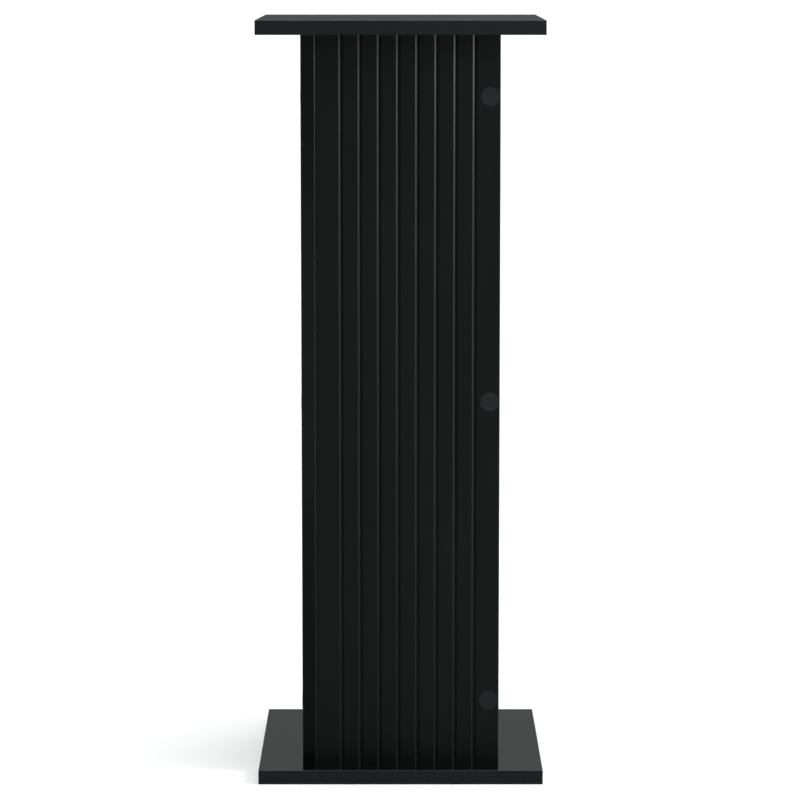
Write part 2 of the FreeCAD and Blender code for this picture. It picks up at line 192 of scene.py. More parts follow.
def make_piece(name, tree, sizes, sharp_degrees=40):
    """Runs a tree once and keeps its result as a plain mesh that rides on the plinth."""
    piece = bpy.data.objects.new(name, bpy.data.meshes.new(name))
    bpy.context.scene.collection.objects.link(piece)
    shape = piece.modifiers.new("shape", "NODES")
    shape.node_group = tree
    for item in tree.interface.items_tree:
        if item.in_out == "INPUT":
            shape[item.identifier] = sizes[item.name]
    keep_result(piece)
    piece.data.polygons.foreach_set("use_smooth", [True] * len(piece.data.polygons))
    piece.data.set_sharp_from_angle(angle=math.radians(sharp_degrees))
    normals = piece.modifiers.new("even_normals", "WEIGHTED_NORMAL")
    normals.keep_sharp = True
    keep_result(piece)
    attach(piece, "root")
    return piece


def keep_result(piece):
    """Turns what the piece's modifiers make into its own mesh, and removes them."""
    depsgraph = bpy.context.evaluated_depsgraph_get()
    mesh = bpy.data.meshes.new_from_object(piece.evaluated_get(depsgraph), depsgraph=depsgraph)
    mesh.name = piece.name
    piece.modifiers.clear()
    piece.data = mesh


def edge_band_tree(name, material, arris_material):
    """A flat strip whose outer two arrises are rounded, drawn out along its length."""
    inputs = {
        "Thickness": "Float",
        "Width": "Float",
        "Length": "Float",
        "Arris Round": "Float",
        "Arris Steps": "Int",
        "Turn": "Vector",
        "Place": "Vector",
    }
    tree, given = start_tree(name, inputs)
    feeds = {"Width": given["Thickness"], "Height": given["Width"]}
    section = add_node(tree, "GeometryNodeCurvePrimitiveQuadrilateral", feeds)
    position = add_node(tree, "GeometryNodeInputPosition").outputs["Position"]
    across = add_node(tree, "ShaderNodeSeparateXYZ", {"Vector": position}).outputs["X"]
    outer = sum_up(tree, "GREATER_THAN", across, 0.0)
    feeds = {
        "Curve": section.outputs["Curve"],
        "Radius": sum_up(tree, "MULTIPLY", outer, given["Arris Round"]),
        "Count": given["Arris Steps"],
    }
    rounded = add_node(tree, "GeometryNodeFilletCurve", mode="POLY")
    feed_node(tree, rounded, feeds)
    face = add_node(tree, "GeometryNodeFillCurve", mode="NGONS")
    feed_node(tree, face, {"Curve": rounded.outputs["Curve"]})
    feeds = {
        "Mesh": face.outputs["Mesh"],
        "Offset": join_axes(tree, z=1.0),
        "Offset Scale": given["Length"],
    }
    drawn = add_node(tree, "GeometryNodeExtrudeMesh", feeds, mode="FACES")
    end = add_node(tree, "GeometryNodeFlipFaces", {"Mesh": face.outputs["Mesh"]})
    both = add_node(tree, "GeometryNodeJoinGeometry")
    tree.links.new(drawn.outputs["Mesh"], both.inputs["Geometry"])
    tree.links.new(end.outputs["Mesh"], both.inputs["Geometry"])
    feeds = {"Geometry": both.outputs["Geometry"], "Distance": WELD_GAP}
    closed = add_node(tree, "GeometryNodeMergeByDistance", feeds)
    facing = add_node(tree, "GeometryNodeInputNormal").outputs["Normal"]
    way = add_node(tree, "ShaderNodeSeparateXYZ", {"Vector": facing}).outputs
    slant = sum_up(tree, "ABSOLUTE", sum_up(tree, "MULTIPLY", way["X"], way["Y"]))
    marked = add_node(tree, "GeometryNodeCaptureAttribute", domain="FACE")
    marked.capture_items.new("BOOLEAN", "Arris")
    feeds = {
        "Geometry": closed.outputs["Geometry"],
        "Arris": sum_up(tree, "GREATER_THAN", slant, SLANTED),
    }
    feed_node(tree, marked, feeds)
    feeds = {
        "Geometry": marked.outputs["Geometry"],
        "Translation": given["Place"],
        "Rotation": given["Turn"],
    }
    placed = add_node(tree, "GeometryNodeTransform", feeds)
    # The arris faces take their own material; on the panels' strips it is paler and shinier, a
    # painted highlight.
    arrises = (marked.outputs["Arris"], arris_material)
    end_tree(tree, placed.outputs["Geometry"], material, arrises)
    return tree


def black_edge_band(name, roughness, shine, dark, light):
    """Black ABS strip with the fine matt grain that it is rolled with."""
    material, tree, shader = start_material(name)
    broad = noise(tree, 14, 2)
    grain = noise(tree, 2200, 2)
    mottle(tree, shader, spread(tree, broad, 0, 1), dark, light)
    feed_node(tree, shader, {"Roughness": spread(tree, broad, roughness, roughness + 0.05)})
    emboss(tree, shader, grain, 0.000004)
    shader.inputs["IOR"].default_value = PLASTIC_IOR
    shader.inputs["Specular IOR Level"].default_value = shine
    return material


def make_plate_bands(plate, tree):
    """The four strips round a plate, each where its CAD node is."""
    stand_up = Matrix(((0, 0, -1), (-1, 0, 0), (0, 1, 0)))
    for quarter_turns, side in enumerate(SIDES):
        node = f"{plate}_{side}_edge_band"
        low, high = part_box(node)
        turn = Matrix.Rotation(math.radians(90) * quarter_turns, 3, "Z")
        centre = (low + high) / 2
        size = high - low
        length = max(size.x, size.y)
        start = centre - turn @ stand_up @ Vector((0, 0, length / 2))
        sizes = {
            "Thickness": BAND_THICK,
            "Width": size.z,
            "Length": length,
            "Arris Round": PLATE_ARRIS_ROUND,
            "Arris Steps": ARRIS_STEPS,
            "Turn": list((turn @ stand_up).to_euler()),
            "Place": list(start),
        }
        strip = make_piece(f"{node}_strip", tree, sizes)
        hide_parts(node)


plate_band = black_edge_band(
    "black_plate_edge_band", 0.36, 0.5, (0.0052, 0.0098, 0.0108), (0.0068, 0.0118, 0.0128)
)
plate_band_tree = edge_band_tree("plate_edge_band", plate_band, plate_band)
make_plate_bands("base_plate", plate_band_tree)

# ---------------------------------------------------------------- grooved panels
# Four fibreboard panels, wrapped in black satin foil after eight shallow V grooves are cut
# down the face. Each one's left end butts the inside of the panel before it, in a pinwheel, so all
# four are the same. The foil softens the grooves' lips and fills their points a little.

GROOVE_COUNT = 8
GROOVE_PITCH = 0.020
GROOVE_WIDTH = 0.005
GROOVE_DEPTH = 0.0015
LIP_EASE = 0.0004
POINT_EASE = 0.00015
ARRIS_ROUND = 0.0008
BESIDE_ARRIS = 1.3
GROOVE_COLUMNS = 17
ARRIS_COLUMNS = 8

PANEL_INPUTS = {
    "Left": "Float",
    "Right": "Float",
    "Face": "Float",
    "Thickness": "Float",
    "Foot": "Float",
    "Height": "Float",
    "First Groove": "Float",
    "Groove Count": "Int",
    "Groove Pitch": "Float",
    "Groove Width": "Float",
    "Groove Depth": "Float",
    "Groove Columns": "Int",
    "Lip Ease": "Float",
    "Point Ease": "Float",
    "Arris Round": "Float",
    "Arris Columns": "Int",
    "Turn": "Float",
}


def choose(tree, condition, if_not, if_so):
    """One of two numbers, by a condition that is 0 or 1."""
    more = sum_up(tree, "SUBTRACT", if_so, if_not)
    return sum_up(tree, "MULTIPLY_ADD", condition, more, if_not)


def panel_columns(tree, given, column):
    """Where each column of points stands across the panel.

    The first ones follow the rounded arris of the butting end, the last one is at the other
    end, and those between are bunched over the grooves, as many on each.
    """
    arris_end = given["Arris Columns"]
    quarter = sum_up(tree, "DIVIDE", math.pi / 2, sum_up(tree, "SUBTRACT", arris_end, 2.0))
    angle = sum_up(tree, "MINIMUM", sum_up(tree, "MULTIPLY", column, quarter), math.pi / 2)
    round_in = sum_up(tree, "SUBTRACT", 1.0, sum_up(tree, "COSINE", angle))
    is_beside = sum_up(tree, "COMPARE", column, sum_up(tree, "SUBTRACT", arris_end, 1.0), 0.5)
    reach = choose(tree, is_beside, round_in, BESIDE_ARRIS)
    arris_x = sum_up(tree, "MULTIPLY_ADD", reach, given["Arris Round"], given["Left"])

    rest = sum_up(tree, "SUBTRACT", column, arris_end)
    groove = sum_up(tree, "FLOOR", sum_up(tree, "DIVIDE", rest, given["Groove Columns"]))
    within = sum_up(
        tree, "SUBTRACT", rest, sum_up(tree, "MULTIPLY", groove, given["Groove Columns"])
    )
    last = sum_up(tree, "SUBTRACT", given["Groove Columns"], 1.0)
    across = sum_up(tree, "MULTIPLY_ADD", sum_up(tree, "DIVIDE", within, last), 2.0, -1.0)
    half_span = sum_up(tree, "MULTIPLY_ADD", given["Groove Width"], 0.5, given["Lip Ease"])
    centre = sum_up(tree, "MULTIPLY_ADD", groove, given["Groove Pitch"], given["First Groove"])
    groove_x = sum_up(tree, "MULTIPLY_ADD", across, half_span, centre)

    in_grooves = sum_up(tree, "GREATER_THAN", column, sum_up(tree, "SUBTRACT", arris_end, 0.5))
    groove_points = sum_up(tree, "MULTIPLY", given["Groove Count"], given["Groove Columns"])
    past_grooves = sum_up(
        tree, "GREATER_THAN", rest, sum_up(tree, "SUBTRACT", groove_points, 0.5)
    )
    x = choose(tree, in_grooves, arris_x, groove_x)
    return choose(tree, past_grooves, x, given["Right"])


def groove_depth(tree, given, x):
    """How far the face lies back at a place across it: the nearest V, with soft lips."""
    from_first = sum_up(tree, "SUBTRACT", x, given["First Groove"])
    nearest = sum_up(tree, "ROUND", sum_up(tree, "DIVIDE", from_first, given["Groove Pitch"]))
    last = sum_up(tree, "SUBTRACT", given["Groove Count"], 1.0)
    nearest = sum_up(tree, "MAXIMUM", sum_up(tree, "MINIMUM", nearest, last), 0.0)
    centre = sum_up(tree, "MULTIPLY", nearest, given["Groove Pitch"])
    away = sum_up(tree, "SUBTRACT", from_first, centre)
    squares = sum_up(tree, "POWER", given["Point Ease"], 2.0)
    squares = sum_up(tree, "MULTIPLY_ADD", away, away, squares)
    softened = sum_up(tree, "SQRT", squares)
    share = sum_up(tree, "DIVIDE", softened, sum_up(tree, "MULTIPLY", given["Groove Width"], 0.5))
    straight = sum_up(
        tree, "MULTIPLY", sum_up(tree, "SUBTRACT", 1.0, share), given["Groove Depth"]
    )
    return sum_up(tree, "SMOOTH_MAX", straight, 0.0, given["Lip Ease"])


def arris_depth(tree, given, x):
    """How far the rounded arris at the butting end lies back from the face."""
    inwards = sum_up(tree, "SUBTRACT", x, given["Left"])
    inwards = sum_up(tree, "MINIMUM", inwards, given["Arris Round"])
    twice = sum_up(tree, "MULTIPLY", given["Arris Round"], 2.0)
    chord = sum_up(tree, "MULTIPLY", inwards, sum_up(tree, "SUBTRACT", twice, inwards))
    height = sum_up(tree, "SQRT", sum_up(tree, "MAXIMUM", chord, 0.0))
    return sum_up(tree, "SUBTRACT", given["Arris Round"], height)


def grooved_panel_tree(name, material):
    """A block whose columns of points are moved to the arris and the grooves."""
    tree, given = start_tree(name, PANEL_INPUTS)
    columns = sum_up(
        tree, "MULTIPLY_ADD", given["Groove Count"], given["Groove Columns"], given["Arris Columns"]
    )
    feeds = {
        "Size": (1, 1, 1),
        "Vertices X": sum_up(tree, "ADD", columns, 1.0),
        "Vertices Y": 2,
        "Vertices Z": 2,
    }
    block = add_node(tree, "GeometryNodeMeshCube", feeds)
    position = add_node(tree, "GeometryNodeInputPosition").outputs["Position"]
    place = add_node(tree, "ShaderNodeSeparateXYZ", {"Vector": position}).outputs
    share = sum_up(tree, "ADD", place["X"], 0.5)
    column = sum_up(tree, "ROUND", sum_up(tree, "MULTIPLY", share, columns))
    x = panel_columns(tree, given, column)
    at_face = sum_up(tree, "LESS_THAN", place["Y"], 0.0)
    depth = sum_up(tree, "ADD", groove_depth(tree, given, x), arris_depth(tree, given, x))
    y = choose(tree, at_face, given["Thickness"], depth)
    y = sum_up(tree, "ADD", y, given["Face"])
    z = sum_up(tree, "ADD", place["Z"], 0.5)
    z = sum_up(tree, "MULTIPLY_ADD", z, given["Height"], given["Foot"])
    feeds = {"Geometry": block.outputs["Mesh"], "Position": join_axes(tree, x, y, z)}
    shaped = add_node(tree, "GeometryNodeSetPosition", feeds)
    feeds = {
        "Geometry": shaped.outputs["Geometry"],
        "Rotation": join_axes(tree, z=given["Turn"]),
    }
    turned = add_node(tree, "GeometryNodeTransform", feeds)
    end_tree(tree, turned.outputs["Geometry"], material)
    return tree


def black_foil():
    """The panels' wrap: satin black, with a faint grain drawn out along the grooves."""
    material, tree, shader = start_material("black_foil")
    broad = noise(tree, 12, 3, (1, 1, 0.3))
    grain = noise(tree, 1100, 3, (1, 1, 0.04))
    shade = spread(tree, broad, 0, 1)
    mottle(tree, shader, shade, (0.0010, 0.0046, 0.0036), (0.0020, 0.0060, 0.0050))
    feed_node(tree, shader, {"Roughness": spread(tree, broad, 0.34, 0.40)})
    emboss(tree, shader, grain, 0.000004)
    shader.inputs["IOR"].default_value = PLASTIC_IOR
    shader.inputs["Specular IOR Level"].default_value = 0.5
    return material


panel_low, panel_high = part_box("front_panel")
grooves_span = (GROOVE_COUNT - 1) * GROOVE_PITCH
grooves_middle = (panel_low.x + panel_high.x + BAND_THICK) / 2
panel_sizes = {
    "Left": panel_low.x,
    "Right": panel_high.x,
    "Face": panel_low.y,
    "Thickness": panel_high.y - panel_low.y,
    "Foot": panel_low.z,
    "Height": panel_high.z - panel_low.z,
    "First Groove": grooves_middle - grooves_span / 2,
    "Groove Count": GROOVE_COUNT,
    "Groove Pitch": GROOVE_PITCH,
    "Groove Width": GROOVE_WIDTH,
    "Groove Depth": GROOVE_DEPTH,
    "Groove Columns": GROOVE_COLUMNS,
    "Lip Ease": LIP_EASE,
    "Point Ease": POINT_EASE,
    "Arris Round": ARRIS_ROUND,
    "Arris Columns": ARRIS_COLUMNS,
}
panel_tree = grooved_panel_tree("grooved_panel", black_foil())
for quarter_turns, side in enumerate(SIDES):
    panel_sizes["Turn"] = math.radians(90) * quarter_turns
    board = make_piece(f"{side}_grooved_board", panel_tree, panel_sizes)
    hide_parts(f"{side}_panel")

# ---------------------------------------------------------------- panels' edge bands
# The same ABS strip on the one long edge of each panel that stays in sight. It shows as a
# plain strip at the left of the next face, with its own rounded arrises. Its colour is painted
# shade, darker than the plates' strips, and its arrises carry a painted highlight.

# Painted shade: this strip is coloured several times darker than the same ABS on the plates, for
# the column standing under the top plate's overhang.
panel_band = black_edge_band(
    "black_panel_edge_band_shaded", 0.15, 0.32, (0.0006, 0.0016, 0.0012), (0.0012, 0.0024, 0.0020)
)
# Painted highlight: the panels' strips get paler, shinier arris faces, standing for the light line
# the seam catches.
painted_arris_highlight = black_edge_band(
    "panel_arris_painted_highlight", 0.22, 1.0, (0.016, 0.018, 0.018), (0.022, 0.024, 0.024)
)
panel_band_tree = edge_band_tree("panel_edge_band", panel_band, painted_arris_highlight)
for quarter_turns, side in enumerate(SIDES):
    node = f"{side}_panel_edge_band"
    low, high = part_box(node)
    centre = (low + high) / 2
    sizes = {
        "Thickness": BAND_THICK,
        "Width": panel_high.y - panel_low.y,
        "Length": high.z - low.z,
        "Arris Round": ARRIS_ROUND,
        "Arris Steps": ARRIS_STEPS,
        "Turn": [0.0, 0.0, math.radians(90) * quarter_turns],
        "Place": [centre.x, centre.y, low.z],
    }
    strip = make_piece(f"{side}_panel_strip", panel_band_tree, sizes)
    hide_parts(node)

# ---------------------------------------------------------------- dowels
# Fluted beech dowels, 8 by 30 mm, glued in one board and pushed into the next, which line
# up the corners and the plates while the screws are driven. They are out of sight.

DOWEL_RADIUS = 0.004
DOWEL_LENGTH = 0.030
DOWEL_CHAMFER = 0.0008
DOWEL_FLUTES = 16
FLUTE_DEPTH = 0.0002
POINTS_PER_FLUTE = 4
CORNERS = ["front_right", "back_right", "back_left", "front_left"]
COLUMN_HALF = panel_high.x + BAND_THICK
COLUMN_INSIDE = -panel_low.x
JOINT_LINE = (COLUMN_HALF + COLUMN_INSIDE) / 2

SETTING_OUT_INPUTS = {
    "Count": "Int",
    "First Place": "Vector",
    "Step": "Vector",
    "Tilt": "Vector",
    "Sides": "Int",
    "Turn": "Float",
}


def set_out(tree, given, shape):
    """Puts copies of a shape in a row, and the row on one or more sides of the plinth."""
    feeds = {
        "Count": given["Count"],
        "Start Location": given["First Place"],
        "Offset": given["Step"],
    }
    row = add_node(tree, "GeometryNodeMeshLine", feeds)
    feeds = {"Points": row.outputs["Mesh"], "Instance": shape, "Rotation": given["Tilt"]}
    placed = add_node(tree, "GeometryNodeInstanceOnPoints", feeds)
    feeds = {"Count": given["Sides"], "Offset": (0, 0, 0)}
    middle = add_node(tree, "GeometryNodeMeshLine", feeds)
    side = add_node(tree, "GeometryNodeInputIndex").outputs["Index"]
    turn = sum_up(tree, "MULTIPLY_ADD", side, math.pi / 2, given["Turn"])
    feeds = {
        "Points": middle.outputs["Mesh"],
        "Instance": placed.outputs["Instances"],
        "Rotation": join_axes(tree, z=turn),
    }
    return add_node(tree, "GeometryNodeInstanceOnPoints", feeds).outputs["Instances"]


def round_parts(tree):
    """The place of a turned shape's points: their height, and their way round in radians."""
    position = add_node(tree, "GeometryNodeInputPosition").outputs["Position"]
    place = add_node(tree, "ShaderNodeSeparateXYZ", {"Vector": position}).outputs
    return place["Z"], sum_up(tree, "ARCTAN2", place["Y"], place["X"])


def reshape_round(tree, rod, radius, height, angle):
    """Moves a rod's points to a radius that may change along it and around it."""
    x = sum_up(tree, "MULTIPLY", radius, sum_up(tree, "COSINE", angle))
    y = sum_up(tree, "MULTIPLY", radius, sum_up(tree, "SINE", angle))
    feeds = {"Geometry": rod, "Position": join_axes(tree, x, y, height)}
    return add_node(tree, "GeometryNodeSetPosition", feeds).outputs["Geometry"]


def dowel_tree(material):
    """A rod with shallow flutes along it and a chamfer at each end."""
    inputs = {
        "Radius": "Float",
        "Length": "Float",
        "Chamfer": "Float",
        "Flutes": "Int",
        "Flute Depth": "Float",
        **SETTING_OUT_INPUTS,
    }
    tree, given = start_tree("fluted_dowels", inputs)
    feeds = {
        "Vertices": sum_up(tree, "MULTIPLY", given["Flutes"], float(POINTS_PER_FLUTE)),
        "Side Segments": sum_up(tree, "DIVIDE", given["Length"], given["Chamfer"]),
        "Radius": given["Radius"],
        "Depth": given["Length"],
    }
    rod = add_node(tree, "GeometryNodeMeshCylinder", feeds)
    height, angle = round_parts(tree)
    wave = sum_up(tree, "COSINE", sum_up(tree, "MULTIPLY", angle, given["Flutes"]))
    dip = sum_up(tree, "MULTIPLY_ADD", wave, 0.5, 0.5)
    flute = sum_up(tree, "MULTIPLY", dip, given["Flute Depth"])
    half = sum_up(tree, "MULTIPLY", given["Length"], 0.5)
    from_end = sum_up(tree, "SUBTRACT", half, sum_up(tree, "ABSOLUTE", height))
    bevel = sum_up(tree, "MAXIMUM", sum_up(tree, "SUBTRACT", given["Chamfer"], from_end), 0.0)
    radius = sum_up(tree, "SUBTRACT", sum_up(tree, "SUBTRACT", given["Radius"], flute), bevel)
    shaped = reshape_round(tree, rod.outputs["Mesh"], radius, height, angle)
    end_tree(tree, set_out(tree, given, shaped), material)
    return tree


def raw_beech():
    """Pale reddish wood with its grain along whichever way it is seen."""
    material, tree, shader = start_material("raw_beech")
    grain = noise(tree, 420, 6)
    mottle(tree, shader, spread(tree, grain, 0, 1), (0.42, 0.25, 0.12), (0.62, 0.42, 0.24))
    feed_node(tree, shader, {"Roughness": spread(tree, grain, 0.6, 0.75)})
    emboss(tree, shader, grain, 0.00003)
    return material


dowels = dowel_tree(raw_beech())
dowel_sizes = {
    "Radius": DOWEL_RADIUS,
    "Length": DOWEL_LENGTH,
    "Chamfer": DOWEL_CHAMFER,
    "Flutes": DOWEL_FLUTES,
    "Flute Depth": FLUTE_DEPTH,
}
dowel_low, dowel_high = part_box("front_right_corner_dowels")
corner_dowel_y = (dowel_low.y + dowel_high.y) / 2
for quarter_turns, corner in enumerate(CORNERS):
    node = f"{corner}_corner_dowels"
    sizes = {
        **dowel_sizes,
        "Count": 2,
        "First Place": [JOINT_LINE, corner_dowel_y, dowel_low.z + DOWEL_RADIUS],
        "Step": [0.0, 0.0, dowel_high.z - dowel_low.z - 2 * DOWEL_RADIUS],
        "Tilt": [math.radians(90), 0.0, 0.0],
        "Sides": 1,
        "Turn": math.radians(90) * quarter_turns,
    }
    pair = make_piece(f"{corner}_dowel_pair", dowels, sizes)
    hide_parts(node)

for plate in ("base_plate", "top_plate"):
    node = f"{plate}_dowels"
    low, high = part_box(node)
    sizes = {
        **dowel_sizes,
        "Count": 1,
        "First Place": [0.0, -JOINT_LINE, (low.z + high.z) / 2],
        "Step": [0.0, 0.0, 0.0],
        "Tilt": [0.0, 0.0, 0.0],
        "Sides": len(SIDES),
        "Turn": 0.0,
    }
    ring = make_piece(f"{plate}_dowel_ring", dowels, sizes)
    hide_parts(node)

# ---------------------------------------------------------------- wood screws
# Zinc-plated countersunk wood screws, 4 by 40 mm, with a cross recess: three up each
# corner, eight down through the top plate and eight up through the base plate.

HEAD_RADIUS = 0.004
SHANK_RADIUS = 0.002
CORE_RADIUS = 0.0014
SCREW_LENGTH = 0.040
PLAIN_LENGTH = 0.014
TIP_LENGTH = 0.005
THREAD_PITCH = 0.0018
CREST_STEEPNESS = 2.5
BLUNT_POINT = 0.02
DRIVE_SPAN = 0.0046
DRIVE_SLOT = 0.001
DRIVE_DEPTH = 0.0015
SCREW_ROUND_POINTS = 20
SCREW_RINGS = 120


def screw_tree(material):
    """A rod turned to a countersunk head, a plain shank, a threaded core and a point."""
    inputs = {
        "Head Radius": "Float",
        "Shank Radius": "Float",
        "Core Radius": "Float",
        "Length": "Float",
        "Plain Length": "Float",
        "Tip Length": "Float",
        "Thread Pitch": "Float",
        "Drive Span": "Float",
        "Drive Slot": "Float",
        "Drive Depth": "Float",
        "Round Points": "Int",
        "Rings": "Int",
        **SETTING_OUT_INPUTS,
    }
    tree, given = start_tree("wood_screws", inputs)
    feeds = {
        "Vertices": given["Round Points"],
        "Side Segments": given["Rings"],
        "Radius": given["Head Radius"],
        "Depth": given["Length"],
    }
    rod = add_node(tree, "GeometryNodeMeshCylinder", feeds)
    height, angle = round_parts(tree)
    down = sum_up(tree, "SUBTRACT", sum_up(tree, "MULTIPLY", given["Length"], 0.5), height)
    head = sum_up(tree, "SUBTRACT", given["Head Radius"], down)
    turns = sum_up(tree, "MULTIPLY_ADD", angle, 0.5 / math.pi, 1.0)
    turns = sum_up(tree, "ADD", turns, sum_up(tree, "DIVIDE", down, given["Thread Pitch"]))
    part_turn = sum_up(tree, "FRACT", turns)
    wave = sum_up(tree, "ABSOLUTE", sum_up(tree, "MULTIPLY_ADD", part_turn, 2.0, -1.0))
    crest = sum_up(tree, "MULTIPLY_ADD", wave, -CREST_STEEPNESS, 1.0)
    crest = sum_up(tree, "MAXIMUM", crest, 0.0)
    thread_height = sum_up(tree, "SUBTRACT", given["Shank Radius"], given["Core Radius"])
    thread = sum_up(tree, "MULTIPLY_ADD", crest, thread_height, given["Core Radius"])
    threaded = sum_up(tree, "GREATER_THAN", down, given["Plain Length"])
    body = choose(tree, threaded, given["Shank Radius"], thread)
    to_point = sum_up(tree, "SUBTRACT", given["Length"], down)
    taper = sum_up(tree, "DIVIDE", to_point, given["Tip Length"])
    taper = sum_up(tree, "MINIMUM", sum_up(tree, "MAXIMUM", taper, BLUNT_POINT), 1.0)
    radius = sum_up(tree, "MAXIMUM", head, sum_up(tree, "MULTIPLY", body, taper))
    lowered = sum_up(tree, "MULTIPLY", down, -1.0)
    turned = reshape_round(tree, rod.outputs["Mesh"], radius, lowered, angle)
    twice_deep = sum_up(tree, "MULTIPLY", given["Drive Depth"], 2.0)
    recess = add_node(tree, "GeometryNodeMeshBoolean", operation="DIFFERENCE", solver="EXACT")
    tree.links.new(turned, recess.inputs["Mesh 1"])
    for span, slot in (("Drive Span", "Drive Slot"), ("Drive Slot", "Drive Span")):
        size = join_axes(tree, given[span], given[slot], twice_deep)
        arm = add_node(tree, "GeometryNodeMeshCube", {"Size": size})
        tree.links.new(arm.outputs["Mesh"], recess.inputs["Mesh 2"])
    end_tree(tree, set_out(tree, given, recess.outputs["Mesh"]), material)
    return tree


def zinc_plate():
    """Bright zinc over turned steel, a little uneven from the barrel it is plated in."""
    material, tree, shader = start_material("zinc_plate")
    patches = noise(tree, 600, 4)
    mottle(tree, shader, spread(tree, patches, 0, 1), (0.50, 0.50, 0.48), (0.66, 0.66, 0.63))
    feed_node(tree, shader, {"Roughness": spread(tree, patches, 0.25, 0.42)})
    emboss(tree, shader, patches, 0.00001)
    shader.inputs["Metallic"].default_value = 1.0
    return material


screws = screw_tree(zinc_plate())
screw_sizes = {
    "Head Radius": HEAD_RADIUS,
    "Shank Radius": SHANK_RADIUS,
    "Core Radius": CORE_RADIUS,
    "Length": SCREW_LENGTH,
    "Plain Length": PLAIN_LENGTH,
    "Tip Length": TIP_LENGTH,
    "Thread Pitch": THREAD_PITCH,
    "Drive Span": DRIVE_SPAN,
    "Drive Slot": DRIVE_SLOT,
    "Drive Depth": DRIVE_DEPTH,
    "Round Points": SCREW_ROUND_POINTS,
    "Rings": SCREW_RINGS,
}
CORNER_SCREWS = 3
screw_low, screw_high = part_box("front_right_corner_screws")
first_screw_z = screw_low.z + HEAD_RADIUS
corner_screw_step = (screw_high.z - screw_low.z - 2 * HEAD_RADIUS) / (CORNER_SCREWS - 1)
for quarter_turns, corner in enumerate(CORNERS):
    sizes = {
        **screw_sizes,
        "Count": CORNER_SCREWS,
        "First Place": [JOINT_LINE, -COLUMN_HALF, first_screw_z],
        "Step": [0.0, 0.0, corner_screw_step],
        "Tilt": [math.radians(90), 0.0, 0.0],
        "Sides": 1,
        "Turn": math.radians(90) * quarter_turns,
    }
    row = make_piece(f"{corner}_screw_row", screws, sizes)
    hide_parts(f"{corner}_corner_screws")

PLATE_SCREW_OFFSET = 0.064
base_heads_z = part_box("base_plate_screws")[0].z
top_heads_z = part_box("top_plate_screws")[1].z
plate_screw_rows = {
    "base_plate": (base_heads_z, math.radians(180)),
    "top_plate": (top_heads_z, 0.0),
}
for plate, (head_level, tilt) in plate_screw_rows.items():
    sizes = {
        **screw_sizes,
        "Count": 2,
        "First Place": [-PLATE_SCREW_OFFSET, -JOINT_LINE, head_level],
        "Step": [2 * PLATE_SCREW_OFFSET, 0.0, 0.0],
        "Tilt": [tilt, 0.0, 0.0],
        "Sides": len(SIDES),
        "Turn": 0.0,
    }
    ring = make_piece(f"{plate}_screw_ring", screws, sizes)
    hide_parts(f"{plate}_screws")

# ---------------------------------------------------------------- top plate
# The same board and bands as the base plate, laid on the column and screwed down. Its eight
# shallow recesses take the cover caps, so that the top stays flat.

dress_node("top_plate", melamine)
make_plate_bands("top_plate", plate_band_tree)

# ---------------------------------------------------------------- cover caps
# Matt black stick-on caps, 20 mm across and 0.2 mm thick, die-cut from plastic sheet so
# that their rims are a little soft. They hide the heads of the screws.

CAP_RADIUS = 0.010
CAP_THICK = 0.0002
CAP_RIM_EASE = 0.0001
CAP_ROUND_POINTS = 64
CAP_RINGS = 4


def cap_tree(material):
    """A thin disc whose rim rounds in towards its outer face."""
    inputs = {
        "Radius": "Float",
        "Thickness": "Float",
        "Rim Ease": "Float",
        "Round Points": "Int",
        "Rings": "Int",
        **SETTING_OUT_INPUTS,
    }
    tree, given = start_tree("cover_caps", inputs)
    feeds = {
        "Vertices": given["Round Points"],
        "Side Segments": given["Rings"],
        "Radius": given["Radius"],
        "Depth": given["Thickness"],
    }
    disc = add_node(tree, "GeometryNodeMeshCylinder", feeds)
    height, angle = round_parts(tree)
    share = sum_up(tree, "ADD", sum_up(tree, "DIVIDE", height, given["Thickness"]), 0.5)
    square = sum_up(tree, "MINIMUM", sum_up(tree, "MULTIPLY", share, share), 1.0)
    rim_curve = sum_up(tree, "SQRT", sum_up(tree, "SUBTRACT", 1.0, square))
    drop = sum_up(tree, "SUBTRACT", 1.0, rim_curve)
    inset = sum_up(tree, "MULTIPLY", drop, given["Rim Ease"])
    radius = sum_up(tree, "SUBTRACT", given["Radius"], inset)
    level = sum_up(tree, "MULTIPLY", share, given["Thickness"])
    shaped = reshape_round(tree, disc.outputs["Mesh"], radius, level, angle)
    end_tree(tree, set_out(tree, given, shaped), material)
    return tree


def black_cap_plastic():
    """Matt black sheet plastic, a shade paler than the foil around it."""
    material, tree, shader = start_material("black_cap_plastic")
    broad = noise(tree, 120, 2)
    grain = noise(tree, 3000, 2)
    shade = spread(tree, broad, 0, 1)
    mottle(tree, shader, shade, (0.0070, 0.0108, 0.0136), (0.0088, 0.0126, 0.0154))
    feed_node(tree, shader, {"Roughness": spread(tree, broad, 0.60, 0.68)})
    emboss(tree, shader, grain, 0.000005)
    return material


caps = cap_tree(black_cap_plastic())
cap_sizes = {
    "Radius": CAP_RADIUS,
    "Thickness": CAP_THICK,
    "Rim Ease": CAP_RIM_EASE,
    "Round Points": CAP_ROUND_POINTS,
    "Rings": CAP_RINGS,
}
cap_line = COLUMN_HALF - ARRIS_ROUND - CAP_RADIUS
for quarter_turns, corner in enumerate(CORNERS):
    sizes = {
        **cap_sizes,
        "Count": CORNER_SCREWS,
        "First Place": [cap_line, -COLUMN_HALF, first_screw_z],
        "Step": [0.0, 0.0, corner_screw_step],
        "Tilt": [math.radians(90), 0.0, 0.0],
        "Sides": 1,
        "Turn": math.radians(90) * quarter_turns,
    }
    row = make_piece(f"{corner}_cap_row", caps, sizes)
    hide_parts(f"{corner}_corner_screw_caps")

